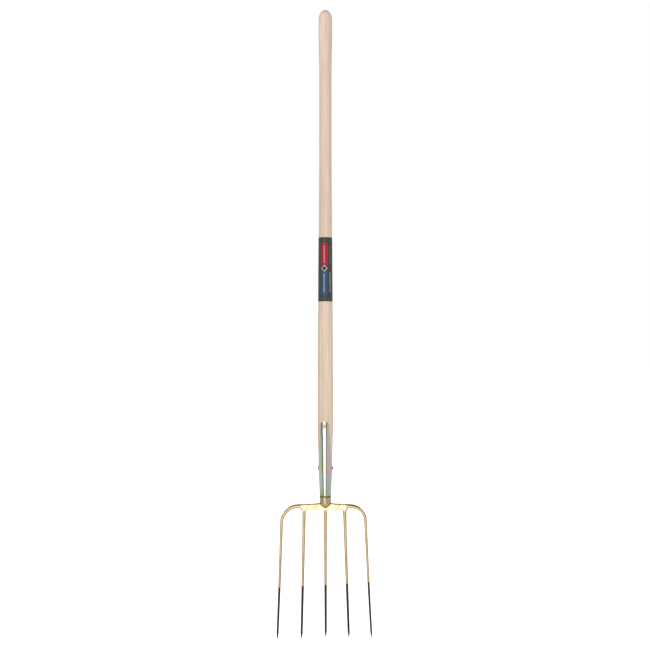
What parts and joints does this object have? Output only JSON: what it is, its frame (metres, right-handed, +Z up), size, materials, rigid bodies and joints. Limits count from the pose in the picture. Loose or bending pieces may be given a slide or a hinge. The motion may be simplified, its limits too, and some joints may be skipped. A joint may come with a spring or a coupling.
{
  "type": "manure fork",
  "caption": "Long-handled fork with slender curved round tines on a narrow crossbar, a riveted sheet-steel socket with a front tongue, and a straight wooden handle.",
  "frame": {"origin": "on the handle's axis at the top of the crossbar, where wall pegs carry the fork when it hangs head up", "axes": "+Z up the handle towards its rounded end, -Y the front, to which the tines curve, +X to the right seen from the front"},
  "size_m": [0.2331, 0.0727, 1.5511],
  "materials": {
    "ash_wood": "sanded, unvarnished",
    "printed_foil": "satin printed foil",
    "zinc_steel": "bright zinc with a yellow iridescent passivation",
    "nail_steel": "bright, hammered",
    "rivet_steel": "hammered, slightly browned",
    "gold_lacquer": "clear gold lacquer over forged steel, the points dipped in black"
  },
  "bodies": {
    "root": {"handle": "ash_wood", "label": "printed_foil", "socket": "zinc_steel", "tongue_nail": "nail_steel", "cross_rivet": "rivet_steel", "neck_and_tang": "gold_lacquer", "crossbar": "gold_lacquer", "tine_outer_left": "gold_lacquer", "tine_inner_left": "gold_lacquer", "tine_centre": "gold_lacquer", "tine_inner_right": "gold_lacquer", "tine_outer_right": "gold_lacquer"}
  },
  "joints": []
}
